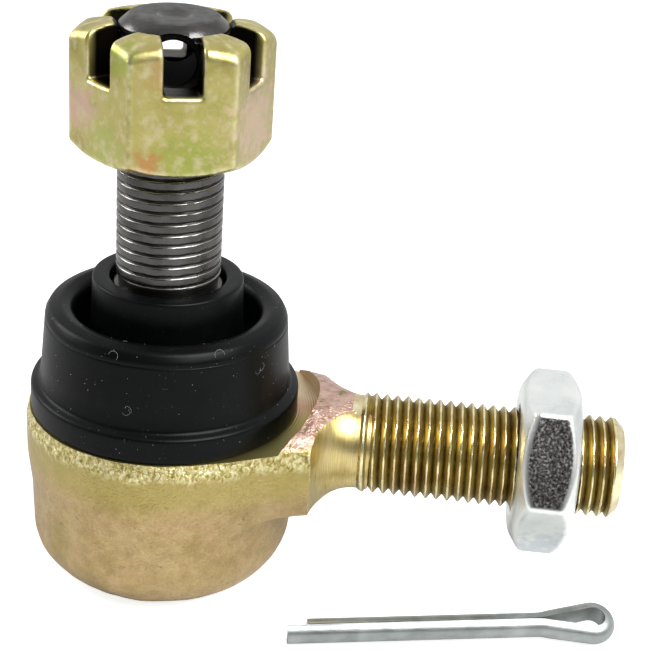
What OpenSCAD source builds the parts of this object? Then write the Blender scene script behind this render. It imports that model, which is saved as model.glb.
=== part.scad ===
// Tie rod end with an M12 ball stud and an M12 threaded shank.
// Millimetres. Origin: centre of the underside, on the stud's axis.
// +Z runs up the stud, +X runs out along the threaded shank.

/* [Forged housing] */
// Radius of the cup at the trimmed parting line
cup_r = 16.1; // [15.8:0.1:16.4]
// Radius of the cup wall lower down
cup_low_r = 15.4; // [15.2:0.1:15.7]
// Radius of the rounded lower edge of the cup
cup_edge_r = 6.4; // [5.6:0.1:6.8]
// Height of the machined top face
face_z = 21; // [20.8:0.1:21.4]
// Radius that the top face cutter swept
face_r = 18.1; // [17.8:0.1:18.6]
// Height of the shank's axis
shank_z = 18.1; // [17.9:0.1:18.3]
// Half width of the forged neck where it meets the shank
neck_w = 9.3; // [8.9:0.1:9.5]
// Where the turned shoulder of the shank stands
shoulder_x = 18.2; // [17.8:0.1:18.6]
// Radius of the turned fillet behind the thread
fillet_r = 5; // [4.6:0.1:5.2]

/* [Threads] */
// Major radius of the M12 x 1.25 thread on the shank
shank_r = 5.88; // [5.86:0.01:5.98]
// Major radius of the M12 x 1.25 thread on the stud
stud_r = 5.93; // [5.88:0.01:5.98]
// Radial clearance of the nuts over the threads
nut_gap = 0.06; // [0.03:0.01:0.09]
// Where the shank's thread starts
thread_start_x = 23.7; // [23.7:0.1:24.4]
// Where the shank ends
shank_end_x = 53.6; // [53:0.1:54.4]

/* [Ball stud] */
// Radius of the ball
ball_r = 9.5; // [9.4:0.05:9.55]
// Height of the ball's centre
ball_z = 13.2; // [13:0.1:13.3]
// Radius of the neck above the ball
stud_neck_r = 5; // [4.6:0.1:5.1]
// Radius of the smooth seat that carries the boot
boot_seat_r = 6.4; // [6.2:0.1:6.4]
// Height of the stud's rim, below its chamfer
stud_rim_z = 66.2; // [65.8:0.1:66.6]
// Radius of the cross hole for the cotter pin
cross_hole_r = 2.4; // [2:0.1:2.5]
// Height of the cross hole
cross_hole_z = 62.9; // [62.8:0.1:63.1]
// Turn of the cross hole about the stud, in degrees
cross_hole_turn = -80; // [-84:0.5:-73]

/* [Dust boot] */
// Radius of the boot's base flange
flange_r = 15.56; // [15.4:0.02:15.6]
// Radius of the boot at its upper crease
rim_r = 13.85; // [13.6:0.05:14]
// Radius of the boot's collar
collar_r = 8.55; // [8.4:0.05:8.7]
// Height of the collar's top face
collar_z = 37.1; // [36.8:0.1:37.4]

/* [Castle nut] */
// Width across the flats
castle_af = 19.3; // [18.8:0.1:19.4]
// Height of the underside
castle_z = 52.1; // [51.6:0.1:52.4]
// Height of the nut
castle_h = 14.2; // [14:0.1:14.4]
// Width of each slot
slot_w = 4.05; // [3.6:0.05:4.2]
// Depth of each slot
slot_d = 5.7; // [5.4:0.1:5.9]
// Turn of the slots about the stud, in degrees
castle_turn = -73.4; // [-90:0.2:-60]

/* [Jam nut] */
// Width across the flats
jam_af = 18.8; // [18.5:0.1:19]
// Inner face of the nut
jam_x = 41.4; // [40:0.1:44]
// Thickness of the nut
jam_t = 7; // [6:0.1:7.2]
// Turn of the corners about the shank, in degrees
jam_turn = 2.3; // [0:0.1:5]

/* [Cotter pin] */
// Radius of the two legs together
pin_r = 1.4; // [1.3:0.05:1.45]
// Length of the longer leg
pin_leg = 29.8; // [29:0.1:32]
// How far the shorter leg stops before the longer one
pin_step = 2.3; // [1.5:0.1:3]
// Where the loose pin's eye lies along the shank
pin_x = 54.8; // [53:0.1:56]
// Where the loose pin's eye lies across the shank
pin_y = -8.1; // [-10:0.1:-7]
// Turn of the loose pin on the ground, in degrees
pin_turn = 11.6; // [8:0.1:14]

/* [Hidden] */
$fn = 96;

eps = 0.01;
// cavity of the cup, bored from below
bore_r = 11.3;
lip_r = 8.2;
lip_h = 1.4;
bore_top_z = 17.2;
throat_r = 8.3;
throat_z = 19.4;
foot_r = cup_low_r - cup_edge_r;
// rounding of the cup's wall near its top
wall_break_z = 11;
cup_round = 0.4;
// forged neck: where it leaves the cup, and its narrowing
root_x = 9.4;
root_w = 12.6;
neck_taper = 3.4;
// forged neck: height and draft of each layer, from the underside to the crown
neck_layers = [[shank_z - 6.2, 1.3], [shank_z - 2.9, 0], [face_z + 0.3, 0],
               [face_z + 1.3, 1.5], [face_z + 2.6, 5.2]];
// spigot that locates the boot's base ring
spigot_r = 13;
spigot_h = 2.2;
mouth_r = 9.9;
// seats and the stack under them
seat_gap = 0.05;
seat_r = bore_r - seat_gap;
seat_split_z = ball_z + 0.1;
plate_top_z = 3;
ring_z = 4.2;
seat_floor_z = 5;
// both threads: pitch, root and the run-out cone at each start
pitch = 1.25;
root_r = 5.15;
runout = 0.4;
// turned end of the shank
stock_r = 18;
keep_r = 7;
relief_r = 5.5;
fillet_x = shoulder_x + fillet_r;
tip_r = 4.9;
tip_chamfer = 1;
// stud above the ball
stud_relief_r = 5.5;
ball_flat_z = 4.6;
cone_z = 25.5;
seat_z = 29.5;
seat_top_z = 36.2;
thread_z = 37.6;
stud_top_z = 67;
stud_crown_r = 4.9;
dimple_r = 1.7;
dimple_d = 0.6;
sink_r = 3.6;
sink_d = 1.5;
// boot: heights of the base's top, the crease, the rim and the fold
base_top_z = face_z + 3;
crease_z = 32.4;
rim_top_z = 33.8;
fold_z = 28;
recess_r = 10.6;
// boot: collar round the upper ring, and seat on the base ring
mouth_in_r = 6.6;
grip_r = boot_seat_r + 0.95;
grip_low = 30.5;
grip_high = 34.5;
base_ring_r = spigot_r + 1.05;
// half width across the corners of each nut
castle_r = castle_af / 2 / cos(30);
jam_r = jam_af / 2 / cos(30);
// cone chamfers of the nuts: end radius and depth
castle_foot = [castle_af / 2, 1];
castle_crown = [castle_af / 2 - 0.9, 1.5];
jam_end = [jam_af / 2 - 0.9, 1.6];
jam_face_x = jam_x + jam_t;
// eye of the pin
eye_w = 5.2;
eye_l = 8.3;
wire_t = 1.35;
seam = 0.04;
eye_tilt = 20;
pin_pitch = 1.2;
pin_lift = 2.2;

// ---------- profiles shared by several parts ----------

// Half section of the spherical pocket between two heights
module ball_pocket(r, low, high) {
    intersection() {
        translate([0, ball_z]) circle(r);
        translate([0, low - eps]) square([r + 1, high - low + 2 * eps]);
    }
}

// A right-angled half section: radius from a to b, height from low to high
module band(a, b, low, high) {
    translate([a, low]) square([b - a, high - low]);
}

// Moves a shape that stands on Z so that it lies on the shank's axis
module on_shank() {
    translate([0, 0, shank_z]) rotate([0, 90, 0]) children();
}

// ---------- forged housing ----------

module cup_section() {
    translate([foot_r, cup_edge_r]) circle(cup_edge_r);
    band(0, foot_r, 0, face_z);
    polygon([[0, cup_edge_r], [cup_low_r, cup_edge_r],
             [cup_low_r + 0.1, wall_break_z],
             [cup_r, shank_z - 2.6], [cup_r, face_z - 4 * cup_round],
             [cup_r - cup_round, face_z], [0, face_z]]);
    band(0, spigot_r, face_z, face_z + spigot_h);
}

module cup_cavity_section() {
    polygon([[0, -1], [lip_r, -1], [lip_r, lip_h], [bore_r, lip_h],
             [bore_r, bore_top_z], [throat_r, throat_z],
             [mouth_r, face_z + spigot_h + eps], [0, face_z + spigot_h + eps]]);
}

// Plan of the forged neck, drawn in by a draft distance
module neck_plan(draft) {
    half = [root_w - draft, neck_w - draft];
    polygon([[0, -half[0]], [root_x, -half[0]], [shoulder_x, -half[1]],
             [fillet_x, -half[1] + neck_taper], [fillet_x, half[1] - neck_taper],
             [shoulder_x, half[1]], [root_x, half[0]], [0, half[0]]]);
}

module neck_layer(z, draft) {
    translate([0, 0, z]) linear_extrude(eps) neck_plan(draft);
}

// Forged neck: drafted underside, flash land and crowned top
module neck() {
    hull() for (layer = neck_layers) neck_layer(layer[0], layer[1]);
}

// All that the lathe leaves: forged stock, then shoulder, fillet and shank.
// One thread groove, hidden in the jam nut, parts the thread's free end from the rest.
module turned_section() {
    difference() {
        band(0, stock_r, 0, fillet_x);
        translate([relief_r + fillet_r, fillet_x]) circle(fillet_r);
        band(relief_r + fillet_r, stock_r + 1, shoulder_x, fillet_x + 1);
    }
    polygon([[0, shoulder_x], [relief_r, fillet_x - eps],
             [relief_r, thread_start_x - runout], [shank_r, thread_start_x],
             [shank_r, jam_face_x - pitch], [root_r, jam_face_x - pitch],
             [root_r, jam_face_x], [shank_r, jam_face_x],
             [shank_r, shank_end_x - tip_chamfer], [tip_r, shank_end_x],
             [0, shank_end_x]]);
}

// Neck and shank: the forged neck, turned beyond its shoulder
module neck_and_shank() {
    intersection() {
        union() {
            neck();
            on_shank() translate([0, 0, fillet_x - 1.2])
                cylinder(r = keep_r, h = shank_end_x);
        }
        on_shank() rotate_extrude() turned_section();
    }
}

module housing() {
    color("goldenrod") difference() {
        union() {
            rotate_extrude() cup_section();
            difference() {
                neck_and_shank();
                translate([0, 0, face_z])
                    cylinder(r = face_r, h = 5);
            }
        }
        rotate_extrude() cup_cavity_section();
    }
}

// ---------- closed bottom and preload stack ----------

module closing_plate() {
    color("darkkhaki") rotate_extrude() {
        band(0, lip_r - 0.05, 0, plate_top_z);
        band(0, bore_r - 0.05, lip_h + 0.03, plate_top_z);
    }
}

module disc_spring() {
    thick = 0.5;
    color("dimgray") rotate_extrude()
        polygon([[6.2, ring_z - 0.03 - thick], [10.9, plate_top_z + 0.03],
                 [10.9, plate_top_z + 0.03 + thick], [6.2, ring_z - 0.03]]);
}

module pressure_ring() {
    color("silver") rotate_extrude()
        band(6.2, bore_r - 0.1, ring_z, seat_floor_z - 0.03);
}

// ---------- bearing ----------

module lower_bearing_seat() {
    color("ivory") rotate_extrude() difference() {
        band(0, seat_r, seat_floor_z, seat_split_z - 0.05);
        ball_pocket(ball_r + seat_gap, seat_floor_z - 1, seat_split_z);
    }
}

module upper_bearing_seat() {
    seat_high = 18.6;
    color("ivory") rotate_extrude() difference() {
        polygon([[0, seat_split_z + 0.05], [seat_r, seat_split_z + 0.05],
                 [seat_r, bore_top_z - 0.1], [9.2, seat_high], [0, seat_high]]);
        ball_pocket(ball_r + seat_gap, seat_split_z, seat_high + 1);
    }
}

// ---------- ball stud ----------

// One thread groove, hidden in the castle nut, parts the bare thread from the rest
module stud_section() {
    intersection() {
        translate([0, ball_z]) circle(ball_r);
        band(0, ball_r, ball_flat_z, ball_z + ball_r);
    }
    band(0, stud_neck_r, ball_z, cone_z + eps);
    polygon([[0, cone_z], [stud_neck_r, cone_z], [boot_seat_r, seat_z],
             [boot_seat_r, seat_top_z], [stud_relief_r, seat_top_z],
             [stud_relief_r, thread_z - runout], [stud_r, thread_z],
             [stud_r, castle_z], [root_r, castle_z],
             [root_r, castle_z + pitch], [stud_r, castle_z + pitch],
             [stud_r, stud_rim_z], [stud_crown_r, stud_top_z],
             [dimple_r, stud_top_z], [0, stud_top_z - dimple_d]]);
}

module cross_hole() {
    translate([0, 0, cross_hole_z]) rotate([0, 90, cross_hole_turn]) {
        cylinder(r = cross_hole_r, h = 20, center = true);
        for (side = [0, 180]) rotate([0, side, 0])
            translate([0, 0, stud_r + 0.1 - sink_d])
                cylinder(r1 = cross_hole_r, r2 = sink_r, h = sink_d);
    }
}

module ball_stud() {
    color("slategray") difference() {
        rotate_extrude() stud_section();
        cross_hole();
    }
}

// ---------- dust boot ----------

module boot_base_ring() {
    color("silver") rotate_extrude()
        band(spigot_r + 0.05, base_ring_r - 0.05, face_z + 0.02, base_top_z);
}

module boot_upper_ring() {
    color("silver") rotate_extrude()
        band(boot_seat_r + seat_gap, grip_r - 0.05, grip_low + 0.1, grip_high - 0.1);
}

// Outer line of the boot: flange, wall, rolled rim, recess and collar
function boot_outside() = [
    [flange_r, face_z + 0.05], [flange_r, base_top_z],
    [rim_r + 0.75, base_top_z + 0.4], [rim_r + 0.5, base_top_z + 2],
    [rim_r, crease_z], [rim_r - 0.5, crease_z + 0.9],
    [recess_r + 1.5, rim_top_z], [recess_r + 0.4, rim_top_z - 0.4],
    [recess_r, crease_z + 0.2], [recess_r - 0.2, fold_z + 1],
    [recess_r - 0.9, fold_z], [collar_r + 0.55, fold_z + 0.6],
    [collar_r + 0.2, fold_z + 3], [collar_r, collar_z]];

// Inner line, from the collar's mouth down to the base ring
function boot_inside() = [
    [mouth_in_r, collar_z], [mouth_in_r, seat_top_z - 0.4],
    [boot_seat_r + 0.1, seat_top_z - 0.6], [boot_seat_r + 0.1, grip_high],
    [grip_r, grip_high], [grip_r, grip_low], [grip_r - 0.15, grip_low - 0.3],
    [grip_r + 0.05, fold_z], [grip_r + 1.25, fold_z - 1.4],
    [recess_r, fold_z - 1.2], [recess_r + 1.1, fold_z + 0.4],
    [recess_r + 1.3, crease_z - 0.8], [rim_r - 1.55, crease_z - 0.8],
    [rim_r - 1.05, base_top_z + 2], [rim_r - 0.75, base_top_z + 0.1],
    [base_ring_r, base_top_z + 0.1], [base_ring_r, face_z + 0.05]];

module dust_boot() {
    color("darkslategray") rotate_extrude()
        polygon(concat(boot_outside(), boot_inside()));
}

// ---------- nuts ----------

// Hexagon bar turned at both ends; low_end and high_end are [end radius, depth]
module hexagon(corner_r, low, high, low_end, high_end) {
    out = corner_r + 0.1;
    intersection() {
        translate([0, 0, low]) cylinder(r = corner_r, h = high - low, $fn = 6);
        rotate_extrude() polygon([
            [0, low], [low_end[0], low], [out, low + low_end[1]],
            [out, high - high_end[1]], [high_end[0], high], [0, high]]);
    }
}

module castle_nut() {
    top_z = castle_z + castle_h;
    color("khaki") difference() {
        rotate([0, 0, castle_turn + 30])
            hexagon(castle_r, castle_z, top_z, castle_foot, castle_crown);
        translate([0, 0, castle_z - 1])
            cylinder(r = stud_r + nut_gap, h = castle_h + 2);
        for (turn = [0, 60, 120]) rotate([0, 0, castle_turn + turn])
            translate([-castle_af, -slot_w / 2, top_z - slot_d])
                cube([2 * castle_af, slot_w, slot_d + 1]);
    }
}

module jam_nut() {
    color("gainsboro") on_shank() difference() {
        rotate([0, 0, 90 + jam_turn])
            hexagon(jam_r, jam_x, jam_face_x, jam_end, jam_end);
        translate([0, 0, jam_x - 1])
            cylinder(r = shank_r + nut_gap, h = jam_t + 2);
    }
}

// ---------- cotter pin, loose beside the joint ----------

// Half-round leg along -X, flat side towards +Y or -Y
module pin_half(length, side) {
    rotate([0, -90, 0]) intersection() {
        cylinder(r = pin_r, h = length);
        translate([-2 * pin_r, side > 0 ? seam : -2 * pin_r - seam, -1])
            cube([4 * pin_r, 2 * pin_r, length + 2]);
    }
}

// Round end of the eye and its taper to the legs, drawn in by an inset
module eye_outline(inset) {
    nose = eye_w / 2 - inset;
    neck_x = -eye_l - 1.5 + inset * 2.2;
    translate([-eye_w / 2, 0]) circle(nose);
    polygon([[-eye_w / 2, nose], [-eye_w / 2, -nose],
             [neck_x, -0.3], [neck_x, 0.3]]);
}

module cotter_pin() {
    color("lightsteelblue")
        translate([pin_x, pin_y, pin_lift])
        rotate([0, 0, pin_turn]) rotate([0, -pin_pitch, 0]) rotate([eye_tilt, 0, 0]) {
            linear_extrude(2 * pin_r, center = true) difference() {
                eye_outline(0);
                eye_outline(wire_t);
            }
            translate([-eye_l, 0, 0]) {
                pin_half(pin_leg, -1);
                pin_half(pin_leg - pin_step, 1);
            }
        }
}

housing();
closing_plate();
disc_spring();
pressure_ring();
lower_bearing_seat();
upper_bearing_seat();
ball_stud();
boot_base_ring();
dust_boot();
boot_upper_ring();
castle_nut();
jam_nut();
cotter_pin();
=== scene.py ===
"""Tie rod end: ball stud under a rubber boot in a forged, threaded housing, with nuts and a split pin."""

import math

import bpy
import numpy as np
from mathutils import Matrix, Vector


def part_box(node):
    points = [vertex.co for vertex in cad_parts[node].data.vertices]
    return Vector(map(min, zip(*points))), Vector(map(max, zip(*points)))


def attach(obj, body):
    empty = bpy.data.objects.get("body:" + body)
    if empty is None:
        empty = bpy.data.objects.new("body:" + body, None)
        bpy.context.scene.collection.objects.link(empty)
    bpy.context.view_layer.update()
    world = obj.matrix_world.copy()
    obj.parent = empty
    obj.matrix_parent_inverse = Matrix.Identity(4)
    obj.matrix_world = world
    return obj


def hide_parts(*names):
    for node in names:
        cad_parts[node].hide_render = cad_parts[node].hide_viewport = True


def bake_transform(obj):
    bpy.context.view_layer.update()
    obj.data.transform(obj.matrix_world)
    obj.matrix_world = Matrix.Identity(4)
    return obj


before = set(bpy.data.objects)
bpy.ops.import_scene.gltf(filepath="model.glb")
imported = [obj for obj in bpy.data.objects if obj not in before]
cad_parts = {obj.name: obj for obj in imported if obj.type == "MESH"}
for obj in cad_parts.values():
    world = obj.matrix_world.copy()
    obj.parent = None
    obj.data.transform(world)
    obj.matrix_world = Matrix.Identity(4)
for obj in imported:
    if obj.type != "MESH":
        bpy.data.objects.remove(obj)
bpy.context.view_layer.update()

MM = 0.001
X, Y, Z = 0, 1, 2


def span(node, axis):
    """Lowest and highest millimetre of a CAD node along one axis."""
    low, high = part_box(node)
    return low[axis] / MM, high[axis] / MM


# ---------- driving sizes, in millimetres ----------

# housing
FACE_Z = span("closing_plate", Z)[0] + 21.0
FACE_CUT_R = 18.1
SHANK_Z = 18.1
SHOULDER_X = 18.2
FILLET_R = 5.0
FILLET_X = SHOULDER_X + FILLET_R
RELIEF_R = 5.5
SHANK_R = 5.88
SHANK_END_X = span("housing", X)[1]
NECK_TOP_Z = FACE_Z + 2.6
CUP_EDGE_R = 6.4
CUP_LOW_R = 15.4
CUP_WALL = ((CUP_EDGE_R, CUP_LOW_R), (11, 15.5), (15.5, 16.1), (19.4, 16.1), (FACE_Z, 15.7))
LIP_Z, LIP_T = 1.75, 1.4
FLASH_LOW_Z, FLASH_MID_Z, FLASH_HIGH_Z = 19.0, 20.1, 21.3
NECK_LOW_Z = SHANK_Z - 6.2
NECK_HALF = ((9.4, 12.6), (SHOULDER_X, 9.3), (FILLET_X, 5.9))
NECK_DRAFT = ((NECK_LOW_Z, 1.3), (SHANK_Z - 2.9, 0.0), (FACE_Z + 0.3, 0.0), (FACE_Z + 1.3, 1.5),
              (NECK_TOP_Z, 5.2))
SPIGOT_R, SPIGOT_H, SPIGOT_LOW_Z = 13.0, 2.2, 18
BORE_R, MOUTH_R = 11.3, 8.2
THROAT = ((17.2, BORE_R), (19.4, 8.3), (FACE_Z + SPIGOT_H, 9.9))

# threads, both M12 x 1.25
PITCH = 1.25
SHANK_THREAD_X = 23.7
STUD_THREAD_Z = 37.6
STUD_R = 5.93

# ball stud
BALL_R, BALL_Z, BALL_FLAT_Z = 9.5, 13.2, 4.6
STUD_NECK_R, STUD_SEAT_R, STUD_RELIEF_R = 5.0, 6.4, 5.65
STUD_SEAT_Z, STUD_RELIEF_Z = 29.5, 36.2
STUD_TOP_Z = span("ball_stud", Z)[1]
HOLE_Z = 62.9
HOLE_R, SINK_R = 2.4, 3.6
HOLE_TURN = math.radians(-80.0)

# nuts
CASTLE_LOW, CASTLE_TOP = span("castle_nut", Z)
CASTLE_FLAT = 9.65
CASTLE_TURN = math.radians(-73.4)
SLOT_HALF, SLOT_DEPTH = 2.02, 5.7
JAM_X0, JAM_X1 = span("jam_nut", X)
JAM_FLAT = 9.4
JAM_TURN = math.radians(92.3)
NUT_GAP = 0.06

# boot: its lowest and top heights, then its radii
BOOT_LOW, BOOT_TOP = span("dust_boot", Z)
FLANGE_R, RIM_R, RECESS_R, COLLAR_R = 15.56, 13.85, 10.6, 8.55

# specks and fibres of lint: how many to the square metre, and how big
SPECKS, FIBRES = 1.6e5, 9.0e3
SPECK_R, FIBRE_R, STRAND_R = 0.06, 0.6, 0.02

# split pin, lying on the floor
PIN_R = 1.4
PIN_LEG, PIN_STEP = 29.8, 2.3
EYE_LONG, EYE_WIDE, WIRE = 8.3, 5.2, 1.35
PIN_AT = (54.8, -8.1, 2.2)
PIN_TURN, PIN_PITCH, PIN_TILT = (math.radians(a) for a in (11.6, -1.2, 20.0))

HOUSING_STEP, NUT_STEP = ((0.3, 0.2))
THREAD_TURNS, ROWS_PER_PITCH = ((120, 14))
BOOT_TURNS = 180

# where the lamps aim
MIDDLE = (15.0, 0, 28.0)


# ---------- meshes ----------


def mesh_object(name, points, faces, materials, smooth_angle=35.0):
    """A shown object from points in millimetres."""
    mesh = bpy.data.meshes.new(name)
    mesh.from_pydata((np.asarray(points) * MM).tolist(), [], [list(map(int, f)) for f in faces])
    for material in materials:
        mesh.materials.append(material)
    mesh.shade_smooth()
    mesh.set_sharp_from_angle(angle=math.radians(smooth_angle))
    obj = bpy.data.objects.new(name, mesh)
    bpy.context.scene.collection.objects.link(obj)
    return obj


def mark(obj, **values):
    """Keeps a number for each point of a mesh, for its finish to read."""
    for key, value in values.items():
        value = np.asarray(value, float)
        obj.data.attributes.new(key, "FLOAT", "POINT").data.foreach_set("value", value)


def soften(outline, radius, steps=5):
    """An open outline with each corner replaced by a curve of about that radius."""
    outline = [np.array(p, float) for p in outline]
    soft = [outline[0]]
    for before, corner, after in zip(outline, outline[1:], outline[2:]):
        back, ahead = before - corner, after - corner
        reach_back = min(radius, 0.45 * np.linalg.norm(back)) / np.linalg.norm(back)
        reach_ahead = min(radius, 0.45 * np.linalg.norm(ahead)) / np.linalg.norm(ahead)
        for t in np.linspace(0, 1, steps):
            a = corner + back * reach_back * (1 - t)
            b = corner + ahead * reach_ahead * t
            soft.append(a * (1 - t) + b * t)
    soft.append(outline[-1])
    return np.array(soft)


def fine_rows(outline, longest):
    """The outline with extra points, so that no stretch is longer than that."""
    rows = [outline[0]]
    for a, b in zip(outline, outline[1:]):
        count = max(1, math.ceil(np.linalg.norm(b - a) / longest))
        rows += [a + (b - a) * k / count for k in range(1, count + 1)]
    return np.array(rows)


def lathe(name, outline, materials, turns=128, closed=False, cut=None, place=None):
    """A turned piece from an outline of (radius, along), going up the outside.

    The points keep their turn, place along the axis and thread depth share as attributes.
    """
    outline = np.asarray(outline, float)
    angle = np.arange(turns) / turns
    circle = np.stack([np.cos(angle * math.tau), np.sin(angle * math.tau)], -1)
    points, start = [], []
    for radius, along in outline:
        pole = radius < 1e-6
        start.append((len(points), pole))
        ring = circle[:1] * 0 if pole else circle * radius
        points += [(x, y, along) for x, y in ring]
    faces = []
    pairs = list(zip(start, start[1:] + start[:1])) if closed else list(zip(start, start[1:]))
    for (low, low_pole), (high, high_pole) in pairs:
        for k in range(turns):
            n = (k + 1) % turns
            face = [low if low_pole else low + k, low if low_pole else low + n,
                    high if high_pole else high + n, high if high_pole else high + k]
            faces.append(list(dict.fromkeys(face)))
    points = np.array(points)
    placed = points if place is None else points @ place[0].T + place[1]
    obj = mesh_object(name, placed, [f for f in faces if len(f) > 2], materials)
    if cut is not None:
        mark(obj, turn=np.arctan2(points[:, Y], points[:, X]) / math.tau, along=points[:, Z],
             cut=cut(points[:, Z]))
    return obj


def slope(shape, points, reach=0.01):
    """Unit direction in which the shape's distance grows."""
    grad = np.empty_like(points)
    for axis in range(3):
        step = np.zeros(3)
        step[axis] = reach
        grad[:, axis] = shape(points + step) - shape(points - step)
    return grad / np.maximum(np.linalg.norm(grad, axis=1, keepdims=True), 1e-9)


def contour(shape, low, high, step):
    """Points and faces of the surface where shape is 0, with its creases kept sharp."""
    axes = [np.arange(low[k], high[k] + step, step) for k in range(3)]
    dims = [len(a) for a in axes]
    yy, zz = np.meshgrid(axes[Y], axes[Z], indexing="ij")
    flat = np.stack([np.zeros(yy.size), yy.ravel(), zz.ravel()], -1)
    field = np.empty(dims)
    for i, x in enumerate(axes[X]):
        flat[:, X] = x
        field[i] = shape(flat).reshape(yy.shape)
    quads, crossings, normals = [], [], []
    for a in range(3):
        b, c = (a + 1) % 3, (a + 2) % 3
        head = np.take(field, range(dims[a] - 1), axis=a)
        tail = np.take(field, range(1, dims[a]), axis=a)
        at = np.argwhere((head < 0) != (tail < 0))
        inner, outer = head[tuple(at.T)], tail[tuple(at.T)]
        point = np.stack([axes[k][at[:, k]] for k in range(3)], 1)
        point[:, a] += step * inner / (inner - outer)
        ring = []
        for db, dc in ((0, 0), (-1, 0), (-1, -1), (0, -1)):
            cell = at.copy()
            cell[:, b] += db
            cell[:, c] += dc
            ring.append(np.ravel_multi_index(cell.T, dims))
        quad = np.stack(ring, 1)
        quad[inner >= 0] = quad[inner >= 0][:, ::-1]
        quads.append(quad)
        crossings.append(point)
        normals.append(slope(shape, point))
    quads, crossings, normals = (np.concatenate(v) for v in (quads, crossings, normals))
    used, index = np.unique(quads.ravel(), return_inverse=True)
    share = np.repeat(np.arange(len(crossings)), 4)

    def total(values):
        return np.bincount(index, weights=values[share], minlength=len(used))

    count = total(np.ones(len(crossings)))
    middle = np.stack([total(crossings[:, k]) / count for k in range(3)], 1)
    pull = (normals * crossings).sum(1)
    matrix = np.empty((len(used), 3, 3))
    aim = np.empty((len(used), 3))
    for i in range(3):
        aim[:, i] = total(normals[:, i] * pull)
        for j in range(3):
            matrix[:, i, j] = total(normals[:, i] * normals[:, j])
    aim -= np.einsum("nij,nj->ni", matrix, middle)
    move = np.linalg.solve(matrix + 0.05 * np.eye(3), aim[..., None])[..., 0]
    cell = np.stack(np.unravel_index(used, dims), 1)
    corner = np.stack([axes[k][cell[:, k]] for k in range(3)], 1)
    points = np.clip(middle + move, corner - 0.1 * step, corner + 1.1 * step)
    return points, index.reshape(-1, 4)


def bumps(points, size, seed):
    """Smooth random heights between -1 and 1, with hills about that size."""
    cells = 32
    table = np.random.default_rng(seed).uniform(-1, 1, (cells, cells, cells))
    place = points / size
    low = np.floor(place).astype(int)
    part = place - low
    part = part * part * (3 - 2 * part)
    height = 0.0
    for corner in np.ndindex(2, 2, 2):
        weight = np.prod(np.where(corner, part, 1 - part), axis=1)
        i, j, k = ((low + corner) % cells).T
        height = height + weight * table[i, j, k]
    return height


def both(a, b, width):
    """Where two solids meet, with their crease rounded over that width."""
    h = np.maximum(width - np.abs(a - b), 0) / width
    return np.maximum(a, b) + h * h * width / 4


def either(a, b, width):
    """Two solids made one, with the crease between them filled over that width."""
    return -both(-a, -b, width)


# ---------- nodes ----------

NOISE, RAMP, BUMP = "ShaderNodeTexNoise", "ShaderNodeValToRGB", "ShaderNodeBump"
MIX, MATHS, VECTORS = "ShaderNodeMix", "ShaderNodeMath", "ShaderNodeVectorMath"
RANGE, READ = "ShaderNodeMapRange", "ShaderNodeAttribute"

# A Mix node on colours, whose result is its third output, and one that darkens a colour by another.
TINTED = {"data_type": "RGBA", "give": 2}
DARKER = {**TINTED, "blend_type": "MULTIPLY"}


def add(tree, kind, links=None, stops=None, give=0, **settings):
    """Adds a node with its settings, its ramp's stops, and its inputs as values or links.

    It gives one of the node's outputs, or the node itself where give is None.
    """
    node = tree.nodes.new(kind)
    for key, value in settings.items():
        setattr(node, key, value)
    if stops:
        ramp = node.color_ramp
        while len(ramp.elements) < len(stops):
            ramp.elements.new(0.5)
        for element, (at, tint) in zip(ramp.elements, stops):
            element.position = at
            element.color = linear(tint)
    for key, value in (links or {}).items():
        socket = node.inputs[key]
        if isinstance(value, bpy.types.NodeSocket):
            tree.links.new(value, socket)
        else:
            socket.default_value = linear(value) if socket.type == "RGBA" else value
    return node if give is None else node.outputs[give]


def linear(tint):
    """Linear RGBA of an sRGB hex code or of a grey between 0 and 1."""
    if not isinstance(tint, str):
        return (tint, tint, tint, 1.0)
    parts = [int(tint[k : k + 2], 16) / 255 for k in (0, 2, 4)]
    return tuple(c / 12.92 if c <= 0.04045 else ((c + 0.055) / 1.055) ** 2.4 for c in parts) + (1.0,)


def per_mm(size):
    """Texture scale at which a pattern's cells are that many millimetres wide."""
    return 1 / (size * MM)


class Finish:
    """A material being built: its tree, its shader and its object coordinates."""

    def __init__(self, name, metallic, roughness):
        self.material = bpy.data.materials.new(name)
        self.material.use_nodes = True
        self.tree = self.material.node_tree
        self.tree.nodes.clear()
        self.shader = add(self.tree, "ShaderNodeBsdfPrincipled",
                          {"Metallic": metallic, "Roughness": roughness}, give=None)
        add(self.tree, "ShaderNodeOutputMaterial", {"Surface": self.shader.outputs["BSDF"]}, give=None)
        self.place = add(self.tree, "ShaderNodeTexCoord", give="Object")
        self.axes = add(self.tree, "ShaderNodeSeparateXYZ", {"Vector": self.place}, give=None).outputs

    def band(self, value, low, high, soft):
        """1 between two heights in millimetres along an axis output, and 0 beyond."""
        rise = add(self.tree, RANGE, {"Value": value, "From Min": (low - soft) * MM,
                                      "From Max": (low + soft) * MM})
        fall = add(self.tree, RANGE, {"Value": value, "From Min": (high + soft) * MM,
                                      "From Max": (high - soft) * MM})
        return add(self.tree, MATHS, {0: rise, 1: fall}, operation="MULTIPLY")

    def close(self, feeds, reliefs=()):
        """Stacks reliefs, each a height, a depth in millimetres and a strength, and feeds the shader."""
        normal = {}
        for height, depth, strength in reliefs:
            normal = {"Normal": add(self.tree, BUMP, {"Height": height, "Distance": depth * MM,
                                                      "Strength": strength, **normal})}
        for key, value in {**feeds, **normal}.items():
            self.tree.links.new(value, self.shader.inputs[key])
        return self.material


# ---------- finishes ----------


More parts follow.
